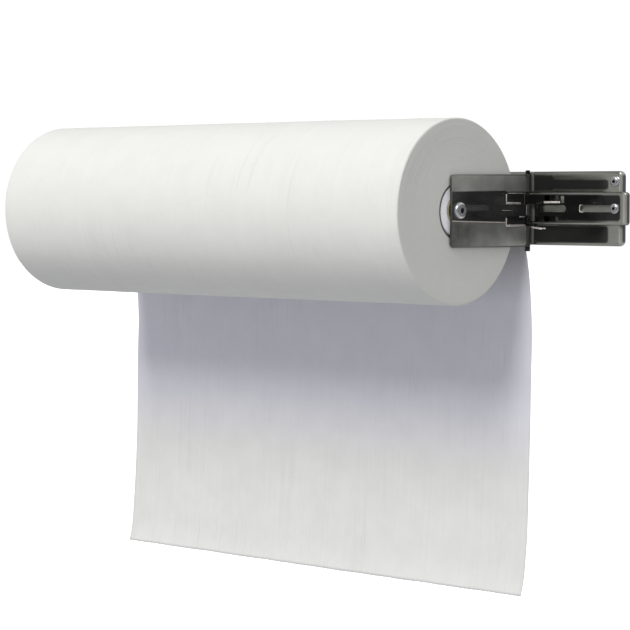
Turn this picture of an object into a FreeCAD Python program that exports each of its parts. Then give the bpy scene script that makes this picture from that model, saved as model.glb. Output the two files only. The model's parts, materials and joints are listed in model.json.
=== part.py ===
import FreeCAD, Part
import math
import os
import Sketcher

# A wall-mounted holder for a wide paper roll. A pressed rail lies against the wall. At each end of it a
# carriage slides in the rail's channel and is clamped by a screw, and an arm swings on the carriage about
# a vertical pin. Each arm carries a plastic hub on its axle screw, and the hubs hold the roll by its core.
#
# Frame: millimetres, +Z up, X along the roll, the wall is the plane Y = 0 and the holder is at -Y.
# The origin is the middle of the rail's back. The right-hand pieces are modelled, the left-hand ones mirror them.

DIMENSIONS = [
    # alias, millimetres or degrees, what it is
    ("roll_length", 500.0, "paper roll along X"),
    ("roll_diameter", 160.0, "paper roll"),
    ("core_bore", 46.8, "inside of the cardboard core"),
    ("core_wall", 1.6, "cardboard of the core"),
    ("roll_out", 103.0, "wall to the roll's axis"),
    ("roll_drop", 2.5, "roll's axis below the middle of the rail"),
    ("axle_forward", 2.0, "axle further from the wall than the roll's axis, because the core hangs on the hubs"),
    ("axle_rise", 1.0, "axle above the roll's axis, for the same reason"),
    ("rail_overhang", 100.0, "rail beyond each end of the roll"),
    ("rail_height", 64.3, "rail along Z"),
    ("rail_depth", 5.0, "rail's face in front of the wall"),
    ("rail_skin", 1.2, "sheet metal of the rail and of the carriages"),
    ("rail_corner", 5.0, "corner radius of the rail seen from the front"),
    ("rail_bend", 2.4, "outside radius of the rail's rolled edges"),
    ("channel_height", 29.3, "channel in the rail's face, which the carriages slide in"),
    ("channel_depth", 1.0, "the same channel"),
    ("wall_hole_pitch_x", 400.0, "wall holes along X"),
    ("wall_hole_pitch_z", 46.0, "wall holes along Z"),
    ("wall_hole_diameter", 5.5, "clear of a 5 mm wall screw"),
    ("end_screw_inset", 7.5, "screw at the rail's end, from that end"),
    ("end_screw_height", 23.1, "the same screw above the middle of the rail"),
    ("carriage_height", 28.3, "carriage along Z"),
    ("carriage_depth", 4.5, "carriage's face in front of its rim"),
    ("carriage_reach", 107.0, "carriage's outer end beyond the end of the roll"),
    ("carriage_corner", 3.0, "corner radius of the carriage's outer end"),
    ("carriage_bend", 2.2, "outside radius of the carriage's rolled edges"),
    ("carriage_gap", 0.1, "running gap under the carriage"),
    ("slot_width", 6.0, "both slots in the carriage"),
    ("clamp_reach", 95.0, "clamp screw beyond the end of the roll"),
    ("clamp_slot_inner", 60.3, "inner end of the clamp slot, to its arc's centre, beyond the end of the roll"),
    ("notch_reach", 14.0, "notch for the arm's tongue, beyond the end of the roll"),
    ("inner_slot_reach", 40.1, "slot beside the notch, to its arc's centre"),
    ("window_inner", 19.5, "windows in the carriage start here"),
    ("window_outer", 39.0, "windows in the carriage end here"),
    ("window_low", 6.2, "carriage windows, lower edge from the carriage's middle"),
    ("window_high", 11.4, "carriage windows, upper edge from the carriage's middle"),
    ("window_rounding", 0.4, "rounding round the slots and windows"),
    ("hinge_reach", 1.5, "hinge axis beyond the end of the roll"),
    ("hinge_out", 8.2, "hinge axis in front of the wall"),
    ("barrel_radius", 2.5, "rolled barrels of the hinge"),
    ("pin_radius", 1.4, "hinge pin"),
    ("running_gap", 0.05, "radial clearance of a shaft in its hole"),
    ("pin_head_radius", 2.4, "head of the hinge pin"),
    ("pin_cap_radius", 2.0, "cap of the hinge pin"),
    ("pin_top", 33.3, "top of the hinge pin's cap above the middle of the rail"),
    ("pin_bottom", -37.7, "bottom of the hinge pin's head"),
    ("pin_cap_roof", 0.6, "thickness of the pin cap's roof, and rounding of cap and head"),
    ("hinge_side_gap", 0.1, "between the arm's barrels and the pin's head and cap"),
    ("barrel_side_gap", 0.3, "between the arm's barrels and the carriage's barrels"),
    ("spring_room", 4.5, "room under the tongue's barrel for the torsion spring"),
    ("spring_side_gap", 0.2, "under the spring"),
    ("arm_top", 29.8, "arm's upper edge at the hinge"),
    ("arm_bottom", -33.8, "arm's lower edge at the hinge"),
    ("arm_taper", 0.8, "how much nearer both edges are at the free end"),
    ("arm_gap", 1.0, "roll's end face to the arm"),
    ("arm_skin", 1.5, "arm plate"),
    ("arm_end", 115.2, "arm's free end in front of the wall"),
    ("arm_root", 9.2, "arm plate's end at the hinge, in front of the wall"),
    ("arm_corner", 4.0, "corner radius of the arm's free end"),
    ("tongue_top", 3.6, "arm's middle tongue"),
    ("tongue_bottom", -6.9, "arm's middle tongue"),
    ("upper_window_top", 14.6, "top of the arm's upper window"),
    ("lower_window_bottom", -15.7, "bottom of the arm's lower window"),
    ("arm_window_out", 41.3, "outer end of the arm's windows, in front of the wall"),
    ("strip_skin", 0.8, "strip along the arm"),
    ("strip_top", 14.7, "strip's upper edge at the free end"),
    ("strip_bottom", -10.7, "strip's lower edge at the free end"),
    ("strip_spread", 0.9, "how much further apart its edges are at the windows"),
    ("strip_end", 113.7, "strip's free end in front of the wall"),
    ("groove_far", 97.0, "groove in the strip, end near the axle"),
    ("groove_near", 67.0, "groove in the strip, end near the windows"),
    ("groove_level", 0.8, "middle of that groove"),
    ("groove_width", 3.8, "the same groove"),
    ("groove_depth", 0.4, "the same groove"),
    ("backing_skin", 0.5, "leaf behind the arm's windows"),
    ("backing_margin", 3.0, "how far that leaf reaches past the windows"),
    ("strip_rounding", 0.3, "rounding of the strip's edges"),
    ("arm_rounding", 0.6, "rounding of the arm plate's outer edges"),
    ("strip_root_gap", 3.0, "tongue's end to the arm plate's end"),
    ("hub_radius", 20.7, "rim of the hub"),
    ("hub_rim", 3.0, "thickness of that rim"),
    ("hub_plug_radius", 20.0, "plug behind the rim"),
    ("hub_tip_radius", 16.5, "plug at its inner end"),
    ("hub_length", 28.0, "whole hub"),
    ("hub_inset", 1.1, "hub's face inside the end of the roll"),
    ("hub_recess_radius", 11.0, "recess for the lock nut"),
    ("hub_recess_depth", 10.0, "the same recess"),
    ("hub_rim_rounding", 0.8, "rounding of the rim's outer edge"),
    ("hub_tip_rounding", 1.5, "rounding of the plug's inner end"),
    ("bush_radius", 5.5, "brass bush in the hub"),
    ("axle_radius", 4.0, "M8 axle screw"),
    ("axle_head_radius", 7.0, "its button head"),
    ("axle_head_height", 3.2, "its button head"),
    ("axle_socket", 5.0, "its hexagon socket across flats"),
    ("axle_inner_end", 29.4, "its end inside the roll"),
    ("face_washer_radius", 12.0, "washer between the arm and the hub"),
    ("washer_gap", 0.05, "gap on both sides of a washer that lies on a turning piece"),
    ("nut_washer_radius", 8.0, "washer under the lock nut"),
    ("nut_washer_thickness", 1.6, "the same washer"),
    ("lock_nut_flats", 13.0, "M8 lock nut across flats"),
    ("lock_nut_height", 7.0, "the same nut"),
    ("clamp_plate_inner", 52.0, "plate inside the carriage, its inner end beyond the end of the roll"),
    ("clamp_plate_outer", 99.0, "its outer end"),
    ("clamp_plate_height", 16.0, "the same plate along Z"),
    ("plate_gap", 0.2, "between this plate, the rail's channel and the carriage's leaf"),
    ("slot_leaf_inner", 14.2, "leaf behind the carriage's inner slot, inner end beyond the end of the roll"),
    ("slot_leaf_outer", 48.0, "its outer end"),
    ("slot_leaf_height", 11.0, "the same leaf along Z"),
    ("slot_leaf_skin", 0.8, "the same leaf"),
    ("screw_radius", 2.0, "M4 clamp screws and end screws"),
    ("screw_head_radius", 4.4, "their flanged button heads"),
    ("screw_head_height", 2.6, "their flanged button heads"),
    ("screw_socket", 3.0, "their hexagon sockets across flats"),
    ("screw_end_gap", 0.2, "from their ends to the wall"),
    ("thin_nut_flats", 7.0, "M4 thin nut across flats"),
    ("thin_nut_height", 2.2, "the same nut"),
    ("spring_coil_radius", 2.0, "torsion spring, to the middle of the wire"),
    ("spring_wire_radius", 0.4, "its wire"),
    ("spring_pitch", 0.95, "from one coil to the next"),
    ("spring_turns", 3.0, "number of coils"),
    ("sheet_width", 496.0, "hanging length of paper, along X"),
    ("sheet_thickness", 0.8, "solid that stands for it"),
    ("sheet_leave_angle", 20.5, "degrees above the roll's axis where the paper leaves the roll"),
    ("sheet_upper_radius", 405.0, "bend of its upper stretch"),
    ("sheet_lean", 3.0, "degrees that its straight stretch leans away from the wall"),
    ("sheet_straight", 127.0, "length of the straight stretch"),
    ("sheet_lower_radius", 400.0, "bend of its lower stretch"),
    ("sheet_end_lean", 14.0, "degrees that its lower edge leans away from the wall"),
    ("sheet_lift", 0.4, "its back stands off the roll's surface where it leaves"),
]

HEAD_ROUNDING = 0.75  # a button head's rounding, as a part of its height
SOCKET_DEPTH = 0.6  # a socket's depth, as a part of the head's height
OVERSHOOT = 1.0  # how far a cut runs past the material it opens

doc = FreeCAD.newDocument("paper_roll_holder")
dims = doc.addObject("Spreadsheet::Sheet", "dims")


class Size:
    """A size from the sheet, or one worked out from them: its value, and the expression that binds to the sheet."""

    def __init__(self, value, text):
        self.value = value
        self.text = text

    def __add__(self, other):
        other = size(other)
        return Size(self.value + other.value, f"({self.text} + {other.text})")

    def __sub__(self, other):
        other = size(other)
        return Size(self.value - other.value, f"({self.text} - {other.text})")

    def __mul__(self, factor):
        return Size(self.value * factor, f"({self.text} * {factor})")

    def __truediv__(self, factor):
        return Size(self.value / factor, f"({self.text} / {factor})")

    def __neg__(self):
        return self * -1


def size(thing):
    """A plain number as a Size."""
    if isinstance(thing, Size):
        return thing
    return Size(float(thing), f"({float(thing)})")


def fill_sheet():
    """Write the driving dimensions into the sheet, and return them by name."""
    named = {}
    for row, (alias, value, meaning) in enumerate(DIMENSIONS, start=1):
        dims.set(f"A{row}", meaning)
        dims.set(f"B{row}", str(value))
        dims.setAlias(f"B{row}", alias)
    doc.recompute()
    for alias, value, meaning in DIMENSIONS:
        named[alias] = Size(dims.get(alias), f"dims.{alias}")
    return named


def bind(thing, where, wanted):
    """Bind a property to the sheet."""
    thing.setExpression(where, size(wanted).text)


# ---- sketches ----------------------------------------------------------------------------------------------


def new_body(label):
    body = doc.addObject("PartDesign::Body", label)
    body.Label = label
    return body


def new_sketch(body, role, at=(0, 0, 0)):
    """A sketch on one of the body's own origin planes, with its origin moved to the point at."""
    x, y, z = (size(value) for value in at)
    shift = {"XY_Plane": (x, y, z), "XZ_Plane": (x, z, -y), "YZ_Plane": (y, z, x)}[role]
    sketch = body.newObject("Sketcher::SketchObject", f"{body.Name}_sketch")
    plane = next(feature for feature in body.Origin.OriginFeatures if feature.Role == role)
    sketch.AttachmentSupport = [(plane, "")]
    sketch.MapMode = "FlatFace"
    for axis, distance in zip("xyz", shift):
        bind(sketch, f"AttachmentOffset.Base.{axis}", distance)
    return sketch


def constrain(sketch, kind, geometry, vertex, wanted):
    wanted = size(wanted)
    if vertex is None:
        index = sketch.addConstraint(Sketcher.Constraint(kind, geometry, wanted.value))
    else:
        index = sketch.addConstraint(Sketcher.Constraint(kind, geometry, vertex, wanted.value))
    bind(sketch, f"Constraints[{index}]", wanted)


def place(sketch, geometry, vertex, point):
    constrain(sketch, "DistanceX", geometry, vertex, point[0])
    constrain(sketch, "DistanceY", geometry, vertex, point[1])


def vector(point):
    return FreeCAD.Vector(size(point[0]).value, size(point[1]).value, 0)


def polygon(sketch, points):
    """A closed outline of straight edges."""
    lines = []
    for start, end in zip(points, points[1:] + points[:1]):
        lines.append(sketch.addGeometry(Part.LineSegment(vector(start), vector(end)), False))
    for line, following in zip(lines, lines[1:] + lines[:1]):
        sketch.addConstraint(Sketcher.Constraint("Coincident", line, 2, following, 1))
    for line, point in zip(lines, points):
        place(sketch, line, 1, point)


def rectangle(sketch, left, right, low, high):
    polygon(sketch, [(left, low), (right, low), (right, high), (left, high)])


def circle(sketch, centre, radius):
    radius = size(radius)
    round_edge = Part.Circle(vector(centre), FreeCAD.Vector(0, 0, 1), radius.value)
    geometry = sketch.addGeometry(round_edge, False)
    place(sketch, geometry, 3, centre)
    constrain(sketch, "Radius", geometry, None, radius)


def rounded_slot(sketch, start, end, level, radius):
    """A slot along the sketch's x, from one arc's centre to the other's."""
    up = FreeCAD.Vector(0, radius.value, 0)
    left, right = vector((start, level)), vector((end, level))
    normal = FreeCAD.Vector(0, 0, 1)
    quarter = math.pi / 2
    left_arc = Part.ArcOfCircle(Part.Circle(left, normal, radius.value), quarter, 3 * quarter)
    right_arc = Part.ArcOfCircle(Part.Circle(right, normal, radius.value), -quarter, quarter)
    pieces = [left_arc, Part.LineSegment(left - up, right - up), right_arc, Part.LineSegment(right + up, left + up)]
    ids = [sketch.addGeometry(piece, False) for piece in pieces]
    for piece, following in zip(ids, ids[1:] + ids[:1]):
        sketch.addConstraint(Sketcher.Constraint("Tangent", piece, 2, following, 1))
    for arc, centre in ((ids[0], start), (ids[2], end)):
        place(sketch, arc, 3, (centre, level))
        constrain(sketch, "Radius", arc, None, radius)


def hexagon(sketch, across_flats):
    """A hexagon with flats on the left and the right, and corners above and below."""
    corner = across_flats / (2 * math.cos(math.pi / 6))
    turns = [math.radians(60 * step + 30) for step in range(6)]
    polygon(sketch, [(corner * round(math.cos(turn), 9), corner * round(math.sin(turn), 9)) for turn in turns])


# ---- features ----------------------------------------------------------------------------------------------


def pad(body, sketch, length, reverse=False):
    feature = body.newObject("PartDesign::Pad", f"{body.Name}_pad")
    feature.Profile = sketch
    feature.Reversed = reverse
    bind(feature, "Length", length)
    doc.recompute()
    return feature


def pocket(body, sketch, depth, reverse=False):
    """Cut a pocket, against the sketch's normal unless reversed, and make sure that it has cut something."""
    before = body.Shape.Volume
    feature = body.newObject("PartDesign::Pocket", f"{body.Name}_pocket")
    feature.Profile = sketch
    feature.Reversed = reverse
    bind(feature, "Length", depth)
    doc.recompute()
    assert body.Shape.Volume < before - 0.01, f"a pocket in {body.Label} cuts nothing"
    return feature


def revolve(body, sketch, axis):
    feature = body.newObject("PartDesign::Revolution", f"{body.Name}_revolution")
    feature.Profile = sketch
    feature.ReferenceAxis = (sketch, [axis])
    feature.Angle = 360
    doc.recompute()
    return feature


def fillet(body, radius, wanted):
    """Round the edges for which wanted(edge) is true."""
    names = [f"Edge{index}" for index, edge in enumerate(body.Shape.Edges, start=1) if wanted(edge)]
    assert names, f"no edge to round on {body.Label}"
    base = body.Tip
    feature = body.newObject("PartDesign::Fillet", f"{body.Name}_fillet")
    feature.Base = (base, names)
    bind(feature, "Radius", radius)
    doc.recompute()
    return feature


def near(value, wanted):
    return abs(value - size(wanted).value) < 1e-3


def lies_at_y(edge, y):
    return near(edge.BoundBox.YMin, y) and near(edge.BoundBox.YMax, y)


def runs_along(edge, axis):
    """Is this a straight edge along X, Y or Z?"""
    if not isinstance(edge.Curve, Part.Line):
        return False
    return abs(getattr(edge.Curve.Direction, axis)) > 0.999


def is_ring_of(edge, radius):
    return isinstance(edge.Curve, Part.Circle) and near(edge.Curve.Radius, radius)


def mirror(right_piece):
    """The left-hand piece, mirrored in the plane X = 0."""
    left = doc.addObject("Part::Mirroring", right_piece.Name.replace("right", "left"))
    left.Label = right_piece.Label.replace("right", "left")
    left.Source = right_piece
    left.Base = FreeCAD.Vector(0, 0, 0)
    left.Normal = FreeCAD.Vector(1, 0, 0)
    return left


size_of = fill_sheet()
roll_end = size_of["roll_length"] / 2
roll_y = -size_of["roll_out"]
roll_z = -size_of["roll_drop"]
axle_y = roll_y - size_of["axle_forward"]
axle_z = roll_z + size_of["axle_rise"]
rail_end = roll_end + size_of["rail_overhang"]
rail_half = size_of["rail_height"] / 2
rail_face = -size_of["rail_depth"]
channel_floor = rail_face + size_of["channel_depth"]
channel_half = size_of["channel_height"] / 2
carriage_rim = channel_floor - size_of["carriage_gap"]
carriage_face = carriage_rim - size_of["carriage_depth"]
carriage_half = size_of["carriage_height"] / 2
clamp_x = roll_end + size_of["clamp_reach"]
hinge_x = roll_end + size_of["hinge_reach"]
hinge_y = -size_of["hinge_out"]
arm_inner = roll_end + size_of["arm_gap"]
arm_outer = arm_inner + size_of["arm_skin"]
strip_outer = arm_outer + size_of["strip_skin"]
hub_face = roll_end - size_of["hub_inset"]
hub_tip = hub_face - size_of["hub_length"]
recess_floor = hub_tip + size_of["hub_recess_depth"]


# ---- the rail and what is fixed to it -----------------------------------------------------------------------


def make_wall_rail():
    """A shallow pressed tray, open to the wall, with a channel along its face, wall holes and screw holes."""
    skin = size_of["rail_skin"]
    body = new_body("wall_rail")
    outline = new_sketch(body, "XZ_Plane")
    rectangle(outline, -rail_end, rail_end, -rail_half, rail_half)
    pad(body, outline, size_of["rail_depth"])

    inner_end = rail_end - skin
    inner_half = rail_half - skin
    step = channel_half + skin
    for low, high, depth in (
        (step, inner_half, size_of["rail_depth"] - skin),
        (-inner_half, -step, size_of["rail_depth"] - skin),
        (-step, step, size_of["rail_depth"] - size_of["channel_depth"] - skin),
    ):
        hollow = new_sketch(body, "XZ_Plane")
        rectangle(hollow, -inner_end, inner_end, low, high)
        pocket(body, hollow, depth, reverse=True)
    inner_corner = size_of["rail_corner"] - skin
    fillet(body, inner_corner, lambda edge: is_upright_corner(edge, inner_end, inner_half))
    fillet(body, size_of["rail_corner"], lambda edge: is_upright_corner(edge, rail_end, rail_half))
    fillet(body, size_of["rail_bend"], lambda edge: lies_at_y(edge, rail_face))

    channel = new_sketch(body, "XZ_Plane", (0, rail_face, 0))
    rectangle(channel, -rail_end, rail_end, -channel_half, channel_half)
    pocket(body, channel, size_of["channel_depth"])

    holes = new_sketch(body, "XZ_Plane", (0, rail_face, 0))
    for side in (-1, 1):
        for level in (-1, 1):
            centre = (size_of["wall_hole_pitch_x"] * side / 2, size_of["wall_hole_pitch_z"] * level / 2)
            circle(holes, centre, size_of["wall_hole_diameter"] / 2)
        circle(holes, (clamp_x * side, 0), size_of["screw_radius"])
        circle(holes, end_screw_centre(side), size_of["screw_radius"])
    pocket(body, holes, size_of["rail_depth"])
    return body


def is_upright_corner(edge, x, z):
    """Is this one of the four edges along Y at X = +-x, Z = +-z?"""
    if not runs_along(edge, "y"):
        return False
    return near(abs(edge.BoundBox.XMin), x) and near(abs(edge.BoundBox.ZMin), z)


def end_screw_centre(side):
    return (rail_end - size_of["end_screw_inset"]) * side, size_of["end_screw_height"]


def screw_profile(seat):
    """Half a button-head screw along -Y, as (radius, y), with its head's underside at seat."""
    shank_end = -size_of["screw_end_gap"]
    radius = size_of["screw_radius"]
    head = size_of["screw_head_radius"]
    top = seat - size_of["screw_head_height"]
    return [(0, top), (head, top), (head, seat), (radius, seat), (radius, shank_end), (0, shank_end)]


def add_socket(body, at, role, across_flats, depth):
    socket = new_sketch(body, role, at)
    hexagon(socket, across_flats)
    pocket(body, socket, depth)


def finish_screw_head(body, seat_at):
    """Round a screw's head and sink its hexagon socket."""
    x, seat, z = seat_at
    height = size_of["screw_head_height"]
    fillet(body, height * HEAD_ROUNDING, lambda edge: is_head_rim(edge, seat))
    add_socket(body, (x, seat - height, z), "XZ_Plane", size_of["screw_socket"], height * SOCKET_DEPTH)


def make_end_screw(label, side):
    """The screw in the rail's upper corner, with its shank inside the rail."""
    x, z = end_screw_centre(side)
    body = new_body(label)
    sketch = new_sketch(body, "XY_Plane", (x, 0, z))
    polygon(sketch, screw_profile(rail_face))
    revolve(body, sketch, "V_Axis")
    finish_screw_head(body, (x, rail_face, z))
    return body


def is_head_rim(edge, seat):
    top = seat - size_of["screw_head_height"]
    return is_ring_of(edge, size_of["screw_head_radius"]) and near(edge.Curve.Center.y, top)


def make_clamp_screw():
    """The screw through the carriage's slot, which clamps the carriage to the rail."""
    seat = carriage_face - size_of["washer_gap"]
    body = new_body("clamp_screw_right")
    sketch = new_sketch(body, "XY_Plane", (clamp_x, 0, 0))
    polygon(sketch, screw_profile(seat))
    revolve(body, sketch, "V_Axis")
    finish_screw_head(body, (clamp_x, seat, 0))
    return body


def make_clamp_plate():
    """The plate on the rail that the clamp screw goes through. The carriage's leaf slides over it."""
    gap = size_of["plate_gap"]
    half = size_of["clamp_plate_height"] / 2
    back = channel_floor - gap
    room = size_of["carriage_depth"] - size_of["rail_skin"] + size_of["carriage_gap"]
    thickness = room - size_of["slot_leaf_skin"] - gap * 3
    body = new_body("clamp_plate_right")
    outline = new_sketch(body, "XZ_Plane", (0, back, 0))
    inner = roll_end + size_of["clamp_plate_inner"]
    outer = roll_end + size_of["clamp_plate_outer"]
    rectangle(outline, inner, outer, -half, half)
    pad(body, outline, thickness)
    hole = new_sketch(body, "XZ_Plane", (0, back, 0))
    circle(hole, (clamp_x, 0), size_of["screw_radius"])
    pocket(body, hole, thickness, reverse=True)
    return body


def make_slot_leaf():
    """The leaf behind the carriage's inner slot."""
    half = size_of["slot_leaf_height"] / 2
    body = new_body("slot_leaf_right")
    front = carriage_face + size_of["rail_skin"]
    outline = new_sketch(body, "XZ_Plane", (0, front + size_of["slot_leaf_skin"], 0))
    inner = roll_end + size_of["slot_leaf_inner"]
    outer = roll_end + size_of["slot_leaf_outer"]
    rectangle(outline, inner, outer, -half, half)
    pad(body, outline, size_of["slot_leaf_skin"])
    return body


def make_clamp_nut():
    """The thin nut behind the rail's channel."""
    body = new_body("clamp_nut_right")
    behind = channel_floor + size_of["rail_skin"]
    outline = new_sketch(body, "XZ_Plane", (clamp_x, behind, 0))
    hexagon(outline, size_of["thin_nut_flats"])
    pad(body, outline, size_of["thin_nut_height"], reverse=True)
    bore = new_sketch(body, "XZ_Plane", (clamp_x, behind, 0))
    circle(bore, (0, 0), size_of["screw_radius"])
    pocket(body, bore, size_of["thin_nut_height"])
    return body


# ---- the carriage and the hinge -----------------------------------------------------------------------------


def barrel(body, low, high, bore):
    """A rolled hinge barrel, as the section that is turned about the pin."""
    sketch = new_sketch(body, "XZ_Plane", (hinge_x, hinge_y, 0))
    rectangle(sketch, bore, size_of["barrel_radius"], low, high)
    revolve(body, sketch, "V_Axis")


def make_carriage():
    """A shallow pressed channel with two slots and two windows. Two barrels at its inner end hold the pin."""
    skin = size_of["rail_skin"]
    outer_end = roll_end + size_of["carriage_reach"]
    body = new_body("carriage_right")
    outline = new_sketch(body, "XZ_Plane", (0, carriage_rim, 0))
    rectangle(outline, hinge_x, outer_end, -carriage_half, carriage_half)
    pad(body, outline, size_of["carriage_depth"])
    fillet(
        body,
        size_of["carriage_corner"],
        lambda edge: runs_along(edge, "y") and near(edge.BoundBox.XMin, outer_end),
    )
    fillet(
        body,
        size_of["carriage_bend"],
        lambda edge: lies_at_y(edge, carriage_face) and not near(edge.BoundBox.XMax, hinge_x),
    )
    hollow = new_sketch(body, "XZ_Plane", (0, carriage_rim, 0))
    rectangle(hollow, hinge_x, outer_end - skin, skin - carriage_half, carriage_half - skin)
    pocket(body, hollow, size_of["carriage_depth"] - skin, reverse=True)

    slots = new_sketch(body, "XZ_Plane", (0, carriage_face, 0))
    slot_radius = size_of["slot_width"] / 2
    rounded_slot(slots, roll_end + size_of["clamp_slot_inner"], clamp_x, 0, slot_radius)
    rounded_slot(
        slots,
        roll_end + size_of["notch_reach"],
        roll_end + size_of["inner_slot_reach"],
        0,
        slot_radius,
    )
    for level in (-1, 1):
        edges = sorted((size_of["window_low"] * level, size_of["window_high"] * level), key=lambda edge: edge.value)
        rectangle(slots, roll_end + size_of["window_inner"], roll_end + size_of["window_outer"], *edges)
    pocket(body, slots, size_of["carriage_depth"])
    fillet(body, size_of["window_rounding"], is_carriage_opening)
    notch_low = size_of["tongue_bottom"] - size_of["spring_room"]
    notch_high = size_of["tongue_top"] + size_of["barrel_side_gap"]
    open_the_hinge(body, notch_low, notch_high)
    barrel(body, notch_high, carriage_half, size_of["pin_radius"])
    barrel(body, -carriage_half, notch_low, size_of["pin_radius"])
    return body


def is_carriage_opening(edge):
    """Is this an edge of a slot or window in the carriage's face?"""
    if not lies_at_y(edge, carriage_face):
        return False
    box = edge.BoundBox
    within = (size_of["window_high"] + size_of["window_rounding"]).value
    if abs(box.ZMin) > within or abs(box.ZMax) > within:
        return False
    first_window = (roll_end + size_of["notch_reach"] - size_of["slot_width"] / 2).value
    return box.XMin > first_window - OVERSHOOT and box.XMax < (clamp_x + size_of["slot_width"]).value


def open_the_hinge(body, notch_low, notch_high):
    """Open the carriage's inner end for the pin, for the spring and for the arm's middle barrel."""
    notch = new_sketch(body, "XZ_Plane", (0, carriage_face, 0))
    rectangle(notch, hinge_x - OVERSHOOT, roll_end + size_of["notch_reach"], notch_low, notch_high)
    pocket(body, notch, size_of["carriage_depth"])
    bore = new_sketch(body, "XY_Plane", (hinge_x, hinge_y, -carriage_half - OVERSHOOT))
    circle(bore, (0, 0), size_of["pin_radius"])
    pocket(body, bore, size_of["carriage_height"] + 2 * OVERSHOOT, reverse=True)


def make_hinge_pin():
    """The pin with its head at the bottom."""
    body = new_body("hinge_pin_right")
    radius = size_of["pin_radius"]
    head = size_of["pin_head_radius"]
    bottom = size_of["pin_bottom"]
    shoulder = size_of["arm_bottom"] - size_of["hinge_side_gap"]
    top = size_of["pin_top"] - size_of["pin_cap_roof"]
    sketch = new_sketch(body, "XZ_Plane", (hinge_x, hinge_y, 0))
    polygon(sketch, [(0, bottom), (head, bottom), (head, shoulder), (radius, shoulder), (radius, top), (0, top)])
    revolve(body, sketch, "V_Axis")
    fillet(body, size_of["pin_cap_roof"], lambda edge: is_ring_of(edge, head) and near(edge.Curve.Center.z, bottom))
    return body


def make_pin_cap():
    """The cap pressed on the pin's top end."""
    body = new_body("hinge_pin_cap_right")
    radius = size_of["pin_radius"]
    outer = size_of["pin_cap_radius"]
    low = size_of["arm_top"] + size_of["hinge_side_gap"]
    high = size_of["pin_top"]
    roof = high - size_of["pin_cap_roof"]
    sketch = new_sketch(body, "XZ_Plane", (hinge_x, hinge_y, 0))
    polygon(sketch, [(radius, low), (outer, low), (outer, high), (0, high), (0, roof), (radius, roof)])
    revolve(body, sketch, "V_Axis")
    fillet(body, size_of["pin_cap_roof"], lambda edge: is_ring_of(edge, outer) and near(edge.Curve.Center.z, high))
    return body


def make_hinge_spring():
    """The coils of the torsion spring round the pin, under the arm's middle barrel."""
    body = new_body("hinge_spring_right")
    wire = size_of["spring_wire_radius"]
    coil = size_of["spring_coil_radius"]
    lowest = size_of["tongue_bottom"] - size_of["spring_room"] + wire + size_of["spring_side_gap"]
    section = new_sketch(body, "XZ_Plane", (hinge_x, hinge_y, lowest))
    circle(section, (coil, 0), wire)
    helix = body.newObject("PartDesign::AdditiveHelix", "hinge_spring_helix")
    helix.Profile = section
    helix.ReferenceAxis = (section, ["V_Axis"])
    helix.Mode = "pitch-turns-angle"
    bind(helix, "Pitch", size_of["spring_pitch"])
    bind(helix, "Turns", size_of["spring_turns"])
    doc.recompute()
    return body


# ---- the arm and its hub ------------------------------------------------------------------------------------


def make_arm_plate():
    """The arm's plate, in the YZ plane, with two windows open to the hinge and three barrels on the pin."""
    top, bottom, taper = size_of["arm_top"], size_of["arm_bottom"], size_of["arm_taper"]
    free, root = -size_of["arm_end"], -size_of["arm_root"]
    window = -size_of["arm_window_out"]
    upper_window_top = size_of["upper_window_top"]
    body = new_body("arm_plate_right")
    outline = new_sketch(body, "YZ_Plane", (arm_inner, 0, 0))
    polygon(
        outline,
        [
            (free, bottom + taper),
            (root, bottom),
            (root, size_of["lower_window_bottom"]),
            (window, size_of["lower_window_bottom"]),
            (window, size_of["tongue_bottom"]),
            (root, size_of["tongue_bottom"]),
            (root, size_of["tongue_top"]),
            (window, size_of["tongue_top"]),
            (window, upper_window_top),
            (root, upper_window_top),
            (root, top),
            (free, top - taper),
        ],
    )
    pad(body, outline, size_of["arm_skin"])
    fillet(
        body,
        size_of["arm_corner"],
        lambda edge: runs_along(edge, "x") and near(edge.BoundBox.YMin, free),
    )
    fillet(body, size_of["arm_rounding"], lambda edge: near(edge.BoundBox.XMin, arm_outer))
    bore = size_of["pin_radius"] + size_of["running_gap"]
    barrel(body, bottom, size_of["lower_window_bottom"], bore)
    barrel(body, size_of["tongue_bottom"], size_of["tongue_top"], bore)
    barrel(body, upper_window_top, top, bore)
    clear_pin(body, bore)
    hole = new_sketch(body, "YZ_Plane", (arm_inner, 0, 0))
    circle(hole, (axle_y, axle_z), size_of["axle_radius"])
    pocket(body, hole, size_of["arm_skin"], reverse=True)
    return body


def clear_pin(body, bore):
    """Drill the pin's hole through plate and barrels alike."""
    sketch = new_sketch(body, "XY_Plane", (hinge_x, hinge_y, size_of["arm_bottom"] - OVERSHOOT))
    circle(sketch, (0, 0), bore)
    pocket(body, sketch, size_of["arm_top"] - size_of["arm_bottom"] + 2 * OVERSHOOT, reverse=True)


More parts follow.
